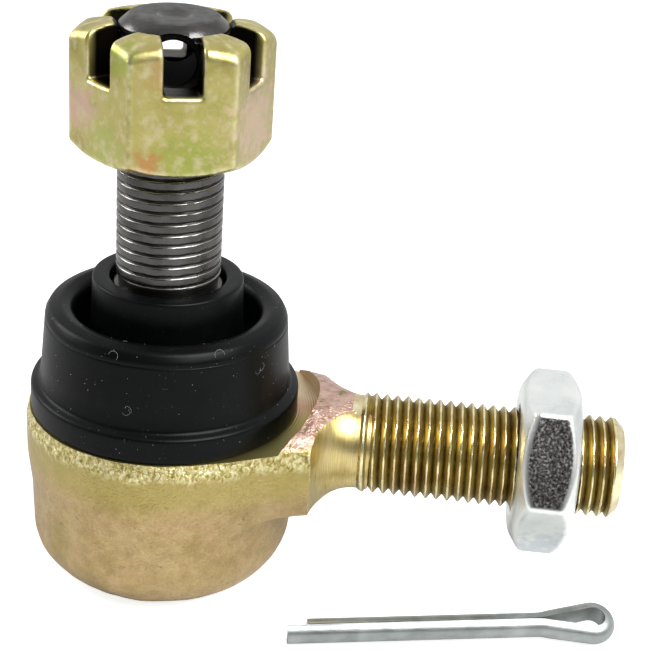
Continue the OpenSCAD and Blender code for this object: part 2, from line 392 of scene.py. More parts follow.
def forged_zinc():
    """Forged steel under yellow zinc: shot-blasted grain, clouded gold, a sheared flash line painted
    bright, partly as painted highlight.
    """
    f = Finish("forged_yellow_zinc", 0.85, 0.38)
    tree, height = f.tree, f.axes["Z"]
    cloud, grain, peach, mottle, pit, wander, pink, dent, torn, fine = (
        add(tree, NOISE, {"Vector": f.place, "Scale": per_mm(size), "Detail": detail})
        for size, detail in ((7.0, 3.0), (0.3, 3.0), (3.4, 4.0), (1.4, 5.0), (1.1, 2.0), (2.5, 2.0),
                             (1.1, 4.0), (2.2, 3.0), (0.7, 4.0), (0.16, 2.0)))
    drawn = add(tree, "ShaderNodeMapping", {"Vector": f.place, "Scale": (1, 1, 0.7)})
    shear = add(tree, NOISE, {"Vector": drawn, "Scale": per_mm(0.4), "Detail": 4.0, "Distortion": 0.6})

    wander = add(tree, MATHS, {0: wander, 1: 0.5}, operation="SUBTRACT")
    wander = add(tree, MATHS, {0: wander, 1: 2.2 * MM}, operation="MULTIPLY")
    ragged = add(tree, MATHS, {0: height, 1: wander}, operation="ADD")
    olive = f.band(ragged, 15.5, FLASH_HIGH_Z, 1.6)
    flash_and_highlight = f.band(ragged, FLASH_LOW_Z, FLASH_HIGH_Z, 0.4)
    crown = f.band(height, FACE_Z + 0.45, 40.0, 0.15)
    lip = f.band(height, -5.0, LIP_Z - 0.05, 0.2)

    base = add(tree, RAMP, {"Fac": cloud},
               [(0.30, "bba26d"), (0.45, "d0b782"), (0.58, "dac08f"), (0.72, "c3b270")])
    peach = add(tree, RAMP, {"Fac": peach}, [(0.45, 0.0), (0.7, 0.5)])
    base = add(tree, MIX, {0: peach, 6: base, 7: "d9b78c"}, **TINTED)
    for share, pattern, stops in ((0.32, grain, [(0.2, "857550"), (0.75, "ffffff")]),
                                  (0.35, mottle, [(0.3, "a8976a"), (0.7, "ffffff")])):
        shade = add(tree, RAMP, {"Fac": pattern}, stops)
        base = add(tree, MIX, {0: share, 6: base, 7: shade}, **DARKER)
    pits = add(tree, RAMP, {"Fac": pit}, [(0.0, 0.0), (0.7, 0.0), (0.75, 1.0)])
    # the flash band is painted near white: sheared texture, and partly a painted highlight on the drafted
    # band
    sheared = add(tree, RAMP, {"Fac": shear}, [(0.34, "857a42"), (0.48, "cfc078"), (0.62, "fbf3c4")])
    blush = add(tree, RAMP, {"Fac": pink}, [(0.3, "8f8857"), (0.44, "cba294"), (0.66, "dcbcaa")])
    for mask, share, tint in ((pits, 0.5, "6b5b3a"), (olive, 0.6, "b7ab5e"), (flash_and_highlight, 0.8, sheared),
                              (crown, 1.0, blush), (lip, 0.7, "c09c78")):
        layer = add(tree, MATHS, {0: mask, 1: share}, operation="MULTIPLY")
        base = add(tree, MIX, {0: layer, 6: base, 7: tint}, **TINTED)

    rough = add(tree, RANGE, {"Value": cloud, "To Min": 0.24, "To Max": 0.36})
    blasted = add(tree, MIX, {0: lip, 6: grain, 7: 0.5}, **TINTED)
    scraped = add(tree, MATHS, {0: flash_and_highlight, 1: shear}, operation="MULTIPLY")
    torn = add(tree, MATHS, {0: crown, 1: torn}, operation="MULTIPLY")
    return f.close({"Base Color": base, "Roughness": rough},
                   [(dent, 0.3, 0.8), (blasted, 0.2, 1.0), (scraped, 0.12, 0.8), (torn, 0.12, 0.7),
                    (fine, 0.03, 0.8)])


def faced_zinc():
    """Zinc over a face cut in the lathe: fine rings round the stud's axis, green drifting to pink."""
    f = Finish("faced_yellow_zinc", 0.95, 0.32)
    tree = f.tree
    drift, nicks, cloud = (
        add(tree, NOISE, {"Vector": f.place, "Scale": per_mm(size), "Detail": detail})
        for size, detail in ((5.0, 2.0), (0.5, 3.0), (3.0, 2.0)))
    level = add(tree, VECTORS, {0: f.place, 1: (1, 1, 0)}, operation="MULTIPLY")
    radius = add(tree, VECTORS, {0: level}, give="Value", operation="LENGTH")
    feed_marks = add(tree, MATHS, {0: radius, 1: math.tau * per_mm(0.3)}, operation="MULTIPLY")
    rings = add(tree, MATHS, {0: feed_marks}, operation="SINE")
    across = add(tree, MATHS, {0: f.axes["Y"], 1: 55.0}, operation="MULTIPLY")
    drift = add(tree, MATHS, {0: across, 1: drift}, operation="ADD")
    base = add(tree, RAMP, {"Fac": drift},
               [(0.0, "a59c62"), (0.35, "b3a262"), (0.55, "c8a081"), (0.8, "d8c3a2")])
    rough = add(tree, RANGE, {"Value": cloud, "To Min": 0.3, "To Max": 0.45})
    return f.close({"Base Color": base, "Roughness": rough}, [(rings, 0.012, 0.8), (nicks, 0.02, 0.5)])


def turned_zinc():
    """Zinc over a turned fillet: satin gold with fine lines round the shank."""
    f = Finish("turned_yellow_zinc", 0.95, 0.28)
    tree = f.tree
    cloud, nicks = (add(tree, NOISE, {"Vector": f.place, "Scale": per_mm(size), "Detail": 3.0})
                    for size in (3.0, 0.9))
    drawn = add(tree, "ShaderNodeMapping", {"Vector": f.place, "Scale": (9.0, 0.15, 0.15)})
    lines = add(tree, NOISE, {"Vector": drawn, "Scale": per_mm(0.35), "Detail": 2.0})
    base = add(tree, RAMP, {"Fac": cloud}, [(0.3, "cdb56e"), (0.55, "e2d090"), (0.75, "e0c896")])
    shade = add(tree, RAMP, {"Fac": lines}, [(0.35, "8d7a45"), (0.6, "ffffff")])
    base = add(tree, MIX, {0: 0.35, 6: base, 7: shade}, **DARKER)
    rough = add(tree, RANGE, {"Value": lines, "To Min": 0.22, "To Max": 0.4})
    return f.close({"Base Color": base, "Roughness": rough}, [(lines, 0.03, 0.6), (nicks, 0.03, 0.35)])


def thread(name, stops, stain, roughness, crown_z=1000.0):
    """Cut thread: the ramp runs from a painted highlight on the crest to painted shade in the root.

    Above crown_z in millimetres the piece is painted darker grey as painted shade, and rougher.
    """
    f = Finish(name, 0.95, roughness)
    tree = f.tree
    groove, hollow = (add(tree, READ, attribute_name=key, give="Fac") for key in ("groove", "hollow"))
    painted_shine_jitter, oil, shaded_top_grey, grit = (
        add(tree, NOISE, {"Vector": f.place, "Scale": per_mm(size), "Detail": detail})
        for size, detail in ((0.7, 3.0), (3.0, 4.0), (1.2, 3.0), (0.3, 3.0)))
    painted_shine_jitter = add(tree, MATHS, {0: painted_shine_jitter, 1: 0.5}, operation="SUBTRACT")
    painted_shine_jitter = add(tree, MATHS, {0: painted_shine_jitter, 1: 0.25}, operation="MULTIPLY")
    deep = add(tree, MATHS, {0: groove, 1: painted_shine_jitter}, operation="ADD")
    # painted highlight on the crests and painted shade in the roots, with a dark line beside each crest;
    # noise makes the bands ragged
    base = add(tree, RAMP, {"Fac": deep}, stops)
    oily = add(tree, RAMP, {"Fac": oil}, [(0.35, stain), (0.55, "ffffff")])
    base = add(tree, MIX, {0: 0.5, 6: base, 7: oily}, **DARKER)
    crown = f.band(f.axes["Z"], crown_z, 2000.0, 0.03)
    # painted shade: the stud's top face is painted darker grey and made rougher
    shaded_top_grey = add(tree, RAMP, {"Fac": shaded_top_grey}, [(0.3, "4c4b4b"), (0.7, "6d6c6b")])
    base = add(tree, MIX, {0: crown, 6: base, 7: shaded_top_grey}, **TINTED)
    # painted shade inside the cross hole: near black and rough
    base = add(tree, MIX, {0: hollow, 6: base, 7: "0f0e0c"}, **TINTED)
    rough = add(tree, RANGE, {"Value": groove, "To Min": roughness - 0.04, "To Max": roughness + 0.2})
    rough = add(tree, MIX, {0: crown, 6: rough, 7: 0.5}, **TINTED)
    rough = add(tree, MIX, {0: hollow, 6: rough, 7: 0.9}, **TINTED)
    return f.close({"Base Color": base, "Roughness": rough}, [(grit, 0.03, 0.6)])


def nut_zinc(name, stops, patches, rubbed, roughness, haze):
    """Zinc over a hexagon nut: clouded tint, patches, rubbed edges, painted shade with a speckle on the
    front flat, and painted shade in the hollows.

    Each patch is a place in millimetres, a radius, a share and a tint.
    """
    f = Finish(name, 0.92, roughness)
    tree = f.tree
    cloud = add(tree, NOISE, {"Vector": f.place, "Scale": per_mm(5.0), "Detail": 4.0, "Distortion": 0.4})
    wisps, fine, worn, speckle, grit, dent = (
        add(tree, NOISE, {"Vector": f.place, "Scale": per_mm(size), "Detail": detail})
        for size, detail in ((1.3, 5.0), (0.25, 3.0), (1.6, 3.0), (0.28, 4.0), (0.35, 4.0), (1.8, 2.0)))
    edge, flat, hollow = (add(tree, READ, attribute_name=key, give="Fac")
                          for key in ("edge", "flat", "hollow"))
    base = add(tree, RAMP, {"Fac": cloud}, stops)
    ragged = add(tree, MATHS, {0: wisps, 1: 0.5}, operation="SUBTRACT")
    ragged = add(tree, MATHS, {0: ragged, 1: 3.0}, operation="MULTIPLY")
    for place, radius, share, tint in patches:
        away = add(tree, VECTORS, {0: f.place, 1: tuple(c * MM for c in place)}, give="Value",
                   operation="DISTANCE")
        away = add(tree, MATHS, {0: away, 1: radius * MM}, operation="DIVIDE")
        away = add(tree, MATHS, {0: away, 1: ragged}, operation="ADD")
        patch = add(tree, RAMP, {"Fac": away}, [(0.35, share), (1.0, 0.0)])
        base = add(tree, MIX, {0: patch, 6: base, 7: tint}, **TINTED)
    hazy = add(tree, RAMP, {"Fac": wisps}, [(0.5, 0.0), (0.75, 0.55)])
    base = add(tree, MIX, {0: hazy, 6: base, 7: haze}, **TINTED)
    fine = add(tree, RAMP, {"Fac": fine}, [(0.2, 0.75), (0.7, 1.0)])
    base = add(tree, MIX, {0: 0.35, 6: base, 7: fine}, **DARKER)
    worn = add(tree, RAMP, {"Fac": worn}, [(0.4, 0.0), (0.62, 0.7)])
    worn = add(tree, MATHS, {0: edge, 1: worn}, operation="MULTIPLY")
    # painted shade: the marked flats are painted dark grey with a speckle
    speckled = add(tree, RAMP, {"Fac": speckle}, [(0.34, "2c2b2b"), (0.52, "5c5a59"), (0.7, "a9a7a5")])
    # slots and bores are painted near black here: painted shade
    for share, tint in ((worn, rubbed), (flat, speckled), (hollow, "1d190f")):
        base = add(tree, MIX, {0: share, 6: base, 7: tint}, **TINTED)
    rough = add(tree, RANGE, {"Value": cloud, "To Min": roughness - 0.05, "To Max": roughness + 0.12})
    pocked = add(tree, MATHS, {0: flat, 1: speckle}, operation="MULTIPLY")
    return f.close({"Base Color": base, "Roughness": rough},
                   [(grit, 0.03, 0.6), (dent, 0.08, 0.5), (pocked, 0.03, 0.7)])


def plain_steel(name, tint, roughness, grain_size=0.5):
    """Bare or plated sheet and wire: one tint with faint clouding and a fine rolled grain."""
    f = Finish(name, 1.0, roughness)
    tree = f.tree
    cloud, grain = (add(tree, NOISE, {"Vector": f.place, "Scale": per_mm(size), "Detail": 3.0})
                    for size in (grain_size * 8, grain_size))
    shade = add(tree, RAMP, {"Fac": cloud}, [(0.3, 0.45), (0.65, 1.0)])
    base = add(tree, MIX, {0: 0.4, 6: tint, 7: shade}, **DARKER)
    rough = add(tree, RANGE, {"Value": cloud, "To Min": roughness - 0.05, "To Max": roughness + 0.12})
    return f.close({"Base Color": base, "Roughness": rough}, [(grain, 0.02, 0.5)])


def pin_zinc():
    """Zinc over drawn soft wire: bright, with long draw lines and small nicks."""
    f = Finish("drawn_bright_zinc", 1.0, 0.3)
    tree = f.tree
    cloud, nicks = (add(tree, NOISE, {"Vector": f.place, "Scale": per_mm(size), "Detail": 3.0})
                    for size in (2.5, 0.35))
    drawn = add(tree, "ShaderNodeMapping", {"Vector": f.place, "Scale": (0.15, 1, 1)})
    lines = add(tree, NOISE, {"Vector": drawn, "Scale": per_mm(0.5), "Detail": 3.0})
    base = add(tree, RAMP, {"Fac": cloud}, [(0.3, "979d9c"), (0.55, "adb3b1"), (0.75, "bcc1bf")])
    rough = add(tree, RANGE, {"Value": cloud, "To Min": 0.34, "To Max": 0.46})
    return f.close({"Base Color": base, "Roughness": rough}, [(lines, 0.03, 0.6), (nicks, 0.02, 0.5)])


def boot_rubber():
    """Moulded nitrile rubber: satin black, faintly mottled, with faint specks of dust."""
    f = Finish("moulded_black_rubber", 0.0, 0.45)
    f.shader.inputs["IOR"].default_value = 1.45
    f.shader.inputs["Specular IOR Level"].default_value = 0.15
    tree = f.tree
    cloud, dust, grain, dent = (
        add(tree, NOISE, {"Vector": f.place, "Scale": per_mm(size), "Detail": detail})
        for size, detail in ((4.0, 4.0), (0.35, 2.0), (0.4, 3.0), (3.0, 2.0)))
    base = add(tree, RAMP, {"Fac": cloud}, [(0.3, "020303"), (0.6, "060808")])
    dust = add(tree, RAMP, {"Fac": dust}, [(0.0, 0.0), (0.7, 0.0), (0.78, 1.0)])
    dust = add(tree, MATHS, {0: dust, 1: 0.12}, operation="MULTIPLY")
    base = add(tree, MIX, {0: dust, 6: base, 7: "8d8f90"}, **TINTED)
    rough = add(tree, RANGE, {"Value": cloud, "To Min": 0.28, "To Max": 0.42})
    return f.close({"Base Color": base, "Roughness": rough}, [(grain, 0.02, 0.5), (dent, 0.06, 0.3)])


def acetal():
    """Moulded acetal: waxy off-white with a faint flow mottle."""
    f = Finish("moulded_acetal", 0.0, 0.38)
    f.shader.inputs["IOR"].default_value = 1.48
    tree = f.tree
    flow, grain, cloud = (
        add(tree, NOISE, {"Vector": f.place, "Scale": per_mm(size), "Detail": detail})
        for size, detail in ((3.0, 3.0), (0.5, 2.0), (1.5, 2.0)))
    base = add(tree, RAMP, {"Fac": flow}, [(0.35, "d6d2c2"), (0.65, "e2dfd0")])
    rough = add(tree, RANGE, {"Value": cloud, "To Min": 0.33, "To Max": 0.45})
    return f.close({"Base Color": base, "Roughness": rough}, [(grain, 0.01, 0.4)])


def lint_white():
    """Dust and cotton lint: pale, matt specks."""
    f = Finish("pale_lint", 0.0, 0.8)
    speck = add(f.tree, NOISE, {"Vector": f.place, "Scale": per_mm(0.5)})
    return f.close({"Base Color": add(f.tree, RAMP, {"Fac": speck}, [(0.3, "5c5e60"), (0.7, "9a9b9a")])})


# ---------- forged housing ----------


def cup_distance(radius, z):
    """Distance outside the cup, with its drafted wall and the fine line of its rolled lip."""
    edge_x = CUP_LOW_R - CUP_EDGE_R
    wall = np.interp(z, *zip(*CUP_WALL))
    corner = np.hypot(np.maximum(radius - edge_x, 0), z - CUP_EDGE_R) - CUP_EDGE_R
    below = np.where(radius > edge_x, corner, -z)
    side = np.where(z < CUP_EDGE_R, below, radius - wall)
    lip_line = 0.14 * np.exp(-(((z - LIP_Z) / 0.16) ** 2))
    return side + lip_line * (radius > edge_x)


def neck_distance(p):
    """Distance outside the forged neck, which narrows from the cup to the shank."""
    half = np.interp(p[:, X], *zip(*NECK_HALF))
    draft = np.interp(p[:, Z], *zip(*NECK_DRAFT))
    side = np.abs(p[:, Y]) - half + draft
    ends = np.maximum(-p[:, X], p[:, X] - FILLET_X - 1.5)
    body = both(side, p[:, Z] - NECK_TOP_Z, 1.6)
    body = both(body, NECK_LOW_Z - p[:, Z], 0.8)
    return np.maximum(body, ends)


def lathe_distance(p):
    """Distance outside what the lathe left: shoulder, fillet, then a core at the relief's radius."""
    radius = np.hypot(p[:, Y], p[:, Z] - SHANK_Z)
    centre_r = RELIEF_R + FILLET_R
    back = FILLET_X - p[:, X]
    curve = FILLET_R - np.hypot(back, centre_r - radius)
    inner = np.where(back < 0, radius - RELIEF_R, curve)
    inner = np.where(back > FILLET_R, -1.0 - back, inner)
    return np.where(radius > centre_r, p[:, X] - SHOULDER_X, inner)


def housing_distance(p):
    """Distance outside the housing: dented forging, less what was faced, turned and bored."""
    radius = np.hypot(p[:, X], p[:, Y])
    z = p[:, Z]
    forging = either(cup_distance(radius, z), neck_distance(p), 2.4)
    near = np.abs(forging) < 1.0
    q = p[near]
    dents = 0.07 * bumps(q, 3.1, 11) + 0.035 * bumps(q, 1.3, 12)
    sheared = np.exp(-(((q[:, Z] - FLASH_MID_Z) / 0.9) ** 2)) * 0.06 * bumps(q, 0.7, 13)
    burr = np.exp(-(((q[:, X] - SHOULDER_X + 0.2) / 0.35) ** 2)) * (0.12 + 0.22 * bumps(q, 0.9, 14))
    forging[near] += dents + sheared - burr * (q[:, Z] > FACE_Z - 1.0)
    forging = np.maximum(forging, -z)
    solid = np.maximum(forging, lathe_distance(p))
    faced = np.maximum(FACE_Z - z, radius - FACE_CUT_R)
    solid = np.maximum(solid, -faced)
    spigot = np.maximum(np.maximum(radius - SPIGOT_R, z - FACE_Z - SPIGOT_H), SPIGOT_LOW_Z - z)
    return np.maximum(np.minimum(solid, spigot), -cavity_distance(radius, z))


def cavity_distance(radius, z):
    """Distance outside the bore from below, with the lip at the bottom and the throat at the top."""
    bore = np.maximum(radius - np.interp(z, *zip(*THROAT)), LIP_T - z)
    mouth = np.maximum(radius - MOUTH_R, z - 5)
    return np.minimum(bore, mouth)


def build_housing(materials):
    """The forging; its faces take the forged, the faced or the turned finish by where they lie."""
    low = (-17.4, -17.4, -0.6)
    high = (26.0, 17.4, 24.6)
    points, faces = contour(housing_distance, low, high, HOUSING_STEP)
    obj = mesh_object("housing_forging", points, faces, materials, 32)
    centre = points[faces].mean(1)
    radius = np.hypot(centre[:, X], centre[:, Y])
    faced = (np.abs(centre[:, Z] - FACE_Z) < 0.06) & (radius < FACE_CUT_R + 0.1)
    faced |= (np.abs(radius - FACE_CUT_R) < 0.06) & (centre[:, Z] > FACE_Z)
    faced |= radius < SPIGOT_R + 0.1
    faced &= centre[:, Z] > 0.3
    turned = (np.abs(lathe_distance(centre)) < 0.05) & (centre[:, X] > SHOULDER_X - 0.1)
    kind = np.zeros(len(faces), np.int32)
    kind[faced] = 1
    kind[turned] = 2
    obj.data.polygons.foreach_set("material_index", kind)
    return obj


# ---------- threads ----------


def open_tree(name, inputs):
    """An empty tree with those inputs; gives the tree, its inputs' outlets and their identifiers."""
    tree = bpy.data.node_groups.new(name, "GeometryNodeTree")
    sockets = {}
    for key, kind in inputs:
        socket = tree.interface.new_socket(key, in_out="INPUT", socket_type="NodeSocket" + kind)
        sockets[key] = socket.identifier
    tree.interface.new_socket("Geometry", in_out="OUTPUT", socket_type="NodeSocketGeometry")
    return tree, add(tree, "NodeGroupInput", give=None).outputs, sockets


def close_tree(tree, geometry, material):
    """Ends a tree with its instances made real and its material set."""
    real = add(tree, "GeometryNodeRealizeInstances", {"Geometry": geometry})
    done = add(tree, "GeometryNodeSetMaterial", {"Geometry": real, "Material": material})
    add(tree, "NodeGroupOutput", {"Geometry": done}, give=None)


def run_tree(obj, tree, sockets, values):
    """Runs the tree on the object with those inputs, and leaves a plain mesh."""
    modifier = obj.modifiers.new(tree.name, "NODES")
    modifier.node_group = tree
    for key, value in values.items():
        modifier[sockets[key]] = value
    return baked(obj, modifier)


def thread_tree():
    """Geometry nodes that sink a helical groove into a turned piece, and mark each point's depth in it."""
    tree, given, sockets = open_tree("cut_thread", (
        ("Geometry", "Geometry"), ("Pitch", "Float"), ("Start", "Float"), ("Depth", "Float"),
        ("Crest", "Float"), ("Root", "Float"), ("Axis", "Vector"), ("Through", "Vector"),
        ("Material", "Material")))
    along, turn, cut = (add(tree, "GeometryNodeInputNamedAttribute", {"Name": key}, data_type="FLOAT")
                        for key in ("along", "turn", "cut"))
    run = add(tree, MATHS, {0: along, 1: given["Start"]}, operation="SUBTRACT")
    pitches = add(tree, MATHS, {0: run, 1: given["Pitch"]}, operation="DIVIDE")
    phase = add(tree, MATHS, {0: pitches, 1: turn}, operation="SUBTRACT")
    side = add(tree, MATHS, {0: phase, 1: 0.5}, operation="PINGPONG")
    groove = add(tree, RANGE, {"Value": side, "From Min": given["Crest"], "From Max": given["Root"]})
    groove = add(tree, MATHS, {0: groove, 1: cut}, operation="MULTIPLY")
    here = add(tree, "GeometryNodeInputPosition")
    arm = add(tree, VECTORS, {0: here, 1: given["Through"]}, operation="SUBTRACT")
    lengthwise = add(tree, VECTORS, {0: arm, 1: given["Axis"]}, operation="PROJECT")
    out = add(tree, VECTORS, {0: arm, 1: lengthwise}, operation="SUBTRACT")
    out = add(tree, VECTORS, {0: out}, operation="NORMALIZE")
    depth = add(tree, MATHS, {0: groove, 1: given["Depth"]}, operation="MULTIPLY")
    sink = add(tree, MATHS, {0: depth, 1: -1.0}, operation="MULTIPLY")
    offset = add(tree, VECTORS, {0: out, "Scale": sink}, operation="SCALE")
    marked = add(tree, "GeometryNodeStoreNamedAttribute",
                 {"Geometry": given["Geometry"], "Name": "groove", "Value": groove},
                 data_type="FLOAT", domain="POINT")
    moved = add(tree, "GeometryNodeSetPosition", {"Geometry": marked, "Offset": offset})
    close_tree(tree, moved, given["Material"])
    return tree, sockets


def baked(obj, modifier):
    """The object with that modifier made into a plain mesh."""
    bpy.context.view_layer.update()
    seen = obj.evaluated_get(bpy.context.evaluated_depsgraph_get())
    mesh = bpy.data.meshes.new_from_object(seen)
    obj.modifiers.remove(modifier)
    old = obj.data
    obj.data = mesh
    bpy.data.meshes.remove(old)
    return obj


def cut_thread(obj, axis, through, start, depth, crest, root, material):
    """Cuts the thread; crest and root are shares of the pitch on either side of a crest's middle."""
    tree, sockets = thread_tree()
    run_tree(obj, tree, sockets, {
        "Pitch": PITCH, "Start": start, "Depth": depth * MM, "Crest": crest, "Root": root,
        "Axis": axis, "Through": tuple(c * MM for c in through), "Material": material})
    obj.data.shade_smooth()
    obj.data.set_sharp_from_angle(angle=math.radians(40))
    return obj


def rows_with_thread(outline, low, high):
    """The outline with fine rows along its threaded stretch, and coarser ones elsewhere."""
    rows = [outline[0]]
    for a, b in zip(outline, outline[1:]):
        low_end, high_end = sorted((a[1], b[1]))
        if low_end >= low - 1e-6 and high_end <= high + 1e-6 and low_end != high_end:
            reach, longest = high_end - low_end, PITCH / ROWS_PER_PITCH
        else:
            reach, longest = float(np.linalg.norm(np.subtract(b, a))), 1.2
        count = max(1, math.ceil(reach / longest))
        rows += [tuple(np.add(a, np.subtract(b, a) * k / count)) for k in range(1, count + 1)]
    return rows


def build_shank(material):
    """Relief groove, thread and chamfered tip, turned about the shank's axis."""
    tip = SHANK_END_X - 1.0
    outline = [(0, FILLET_X - 1.0), (RELIEF_R, FILLET_X - 1.0), (RELIEF_R, SHANK_THREAD_X - 0.4),
               (SHANK_R, SHANK_THREAD_X), (SHANK_R, tip), (4.95, SHANK_END_X - 0.05),
               (4.8, SHANK_END_X), (0, SHANK_END_X)]
    share = ((SHANK_THREAD_X - 0.3, 0.15), (SHANK_THREAD_X + 0.9, 1), (tip - 0.4, 1), (tip + 0.1, 0))
    lie = np.array([[0.0, 0, 1], [0, 1, 0], [-1, 0, 0]])
    obj = lathe("shank_thread", rows_with_thread(outline, SHANK_THREAD_X - 0.4, SHANK_END_X - 0.05),
                [material], turns=THREAD_TURNS, place=(lie, np.array([0, 0, SHANK_Z])),
                cut=lambda along: np.interp(along, *zip(*share)))
    return cut_thread(obj, (1, 0, 0), (0, 0, SHANK_Z), 0.45, 0.68, 0.05, 0.46, material)


def build_stud(material):
    """Ball, neck, boot seat, thread and dimpled crown, turned about the stud's axis."""
    flat_r = math.sqrt(BALL_R ** 2 - (BALL_Z - BALL_FLAT_Z) ** 2)
    low, high = math.asin((BALL_FLAT_Z - BALL_Z) / BALL_R), math.acos(STUD_NECK_R / BALL_R)
    ball = [(BALL_R * math.cos(a), BALL_Z + BALL_R * math.sin(a)) for a in np.linspace(low, high, 26)]
    rim = STUD_TOP_Z - 0.8
    seat = [(STUD_NECK_R, STUD_SEAT_Z - 4.0), (STUD_SEAT_R, STUD_SEAT_Z),
            (STUD_SEAT_R, STUD_RELIEF_Z - 0.3), (6.1, STUD_RELIEF_Z), (STUD_RELIEF_R, STUD_RELIEF_Z),
            (STUD_RELIEF_R, STUD_THREAD_Z - 0.4)]
    chamfer = [(STUD_R, STUD_THREAD_Z), (STUD_R, rim - 0.35), (5.85, rim - 0.2),
               (4.75, STUD_TOP_Z - 0.05)]
    dimple = [(4.6, STUD_TOP_Z), (2.6, STUD_TOP_Z), (1.9, STUD_TOP_Z - 0.12), (1.2, STUD_TOP_Z - 0.5),
              (0, STUD_TOP_Z - 0.6)]
    outline = [(0, BALL_FLAT_Z), (flat_r - 0.2, BALL_FLAT_Z)] + ball + seat + chamfer + dimple
    share = ((STUD_THREAD_Z - 0.3, 0), (STUD_THREAD_Z + 0.9, 1), (rim - 1.2, 1), (rim - 0.5, 0))
    obj = lathe("ball_stud_turned", rows_with_thread(outline, STUD_THREAD_Z - 0.4, rim), [material],
                turns=THREAD_TURNS, cut=lambda along: np.interp(along, *zip(*share)))
    cut_thread(obj, (0, 0, 1), (0, 0, 0), 0.0, 0.24, 0.3, 0.48, material)

    reach, neck = 8.0, STUD_R - 1.4
    wide = SINK_R + reach - STUD_R - 0.1
    c, s = math.cos(HOLE_TURN), math.sin(HOLE_TURN)
    lie = np.array([[0.0, -s, c], [0, c, s], [-1, 0, 0]])
    drill = lathe("drill", [(0, -reach), (wide, -reach), (HOLE_R, -neck), (HOLE_R, neck), (wide, reach),
                            (0, reach)], [material], turns=64, place=(lie, np.array([0, 0, HOLE_Z])))
    modifier = obj.modifiers.new("cross hole", "BOOLEAN")
    modifier.object, modifier.operation, modifier.solver = drill, "DIFFERENCE", "MANIFOLD"
    baked(obj, modifier)
    bpy.data.objects.remove(drill)
    obj.data.set_sharp_from_angle(angle=math.radians(35))
    points = np.array([v.co for v in obj.data.vertices]) / MM
    aside = np.hypot(points[:, Y] * c - points[:, X] * s, points[:, Z] - HOLE_Z)
    # painted shade: the cross hole's wall is marked to be painted near black
    mark(obj, hollow=(aside < HOLE_R + 0.1) & (np.abs(points[:, Z] - HOLE_Z) < HOLE_R + 0.1))
    return obj


# ---------- nuts ----------


def hexagon_walls(across, up, flat, turn, low, high, low_end, high_end):
    """Distances of a hexagon bar's walls: flats, ends and the cone chamfers at both ends."""
    walls = []
    for k in range(3):
        angle = turn + k * math.pi / 3
        walls.append(np.abs(across[0] * math.cos(angle) + across[1] * math.sin(angle)) - flat)
    corner = flat / math.cos(math.pi / 6)
    radius = np.hypot(*across)
    for sign, end, (end_r, deep) in ((-1, low, low_end), (1, high, high_end)):
        walls.append(sign * (up - end))
        rise = corner - end_r
        cone = (radius - end_r) * deep + (sign * (up - end)) * rise
        walls.append(cone / math.hypot(deep, rise))
    return np.array(walls)


def rounded_walls(walls, width):
    """The solid inside all the walls, with its creases rounded over that width."""
    solid = walls[0]
    for wall in walls[1:]:
        solid = both(solid, wall, width)
    return solid


def rubbed_edges(walls, reach):
    """1 on the creases of a piece, falling to 0 within that reach."""
    first, second = np.sort(walls, axis=0)[-1:-3:-1]
    return np.clip(1 - (first - second) / reach, 0, 1) ** 1.5


def castle_walls(p):
    """Distances of the castle nut's outer walls."""
    return hexagon_walls((p[:, X], p[:, Y]), p[:, Z], CASTLE_FLAT, CASTLE_TURN, CASTLE_LOW, CASTLE_TOP,
                         (CASTLE_FLAT, 1.0), (CASTLE_FLAT - 0.9, 1.5))


def castle_slot_walls(p):
    """Distance outside the castle nut's three slots, each cut right across."""
    walls = []
    for k in range(3):
        angle = CASTLE_TURN + k * math.pi / 3
        aside = np.abs(-p[:, X] * math.sin(angle) + p[:, Y] * math.cos(angle))
        walls.append(both(aside - SLOT_HALF, CASTLE_TOP - SLOT_DEPTH - p[:, Z], 0.5))
    return np.minimum.reduce(walls)


def bore_wall(radius, along, bore, low, high, sink):
    """Distance inside a nut's bore, which opens out over the last sink millimetres at both ends."""
    lead = np.maximum(low - along + sink, along - high + sink)
    return bore + np.maximum(lead, 0) - radius


def castle_distance(p):
    """Distance outside the castle nut: rounded hexagon with a domed crown, less its slots and bore."""
    walls = castle_walls(p)
    sides = rounded_walls(walls[:5], 0.3)
    crown = both(walls[5], walls[6], 1.6)
    solid = both(sides, crown, 0.9)
    solid = both(solid, -castle_slot_walls(p), 0.5)
    radius = np.hypot(p[:, X], p[:, Y])
    return both(solid, bore_wall(radius, p[:, Z], STUD_R + NUT_GAP, CASTLE_LOW, CASTLE_TOP, 0.7), 0.15)


def build_castle_nut(material):
    """The castle nut, marked where its edges are rubbed and where its slots and bore take painted shade.
    """
    reach = CASTLE_FLAT / math.cos(math.pi / 6) + 0.6
    points, faces = contour(castle_distance, (-reach, -reach, CASTLE_LOW - 0.5),
                            (reach, reach, CASTLE_TOP + 0.5), NUT_STEP)
    obj = mesh_object("castle_nut_body", points, faces, [material], 40)
    slots, walls = castle_slot_walls(points), castle_walls(points)
    edge = np.maximum(rubbed_edges(walls[:5], 0.6),
                      rubbed_edges(np.array([rounded_walls(walls, 0.4), -slots]), 0.5))
    radius = np.hypot(points[:, X], points[:, Y])
    # painted shade: slot walls and the bore are marked to be painted near black
    in_slot = np.clip(1.4 - np.abs(slots) / 0.12, 0, 1)
    hollow = in_slot * np.clip((CASTLE_FLAT - 0.35 - radius) / 0.6, 0, 1)
    mark(obj, edge=edge, hollow=np.maximum(hollow, radius < STUD_R + 0.6))
    return obj


def jam_walls(p):
    """Distances of the jam nut's outer walls."""
    return hexagon_walls((-(p[:, Z] - SHANK_Z), p[:, Y]), p[:, X], JAM_FLAT, JAM_TURN - math.pi / 6,
                         JAM_X0, JAM_X1, (JAM_FLAT - 0.9, 1.6), (JAM_FLAT - 0.9, 1.6))


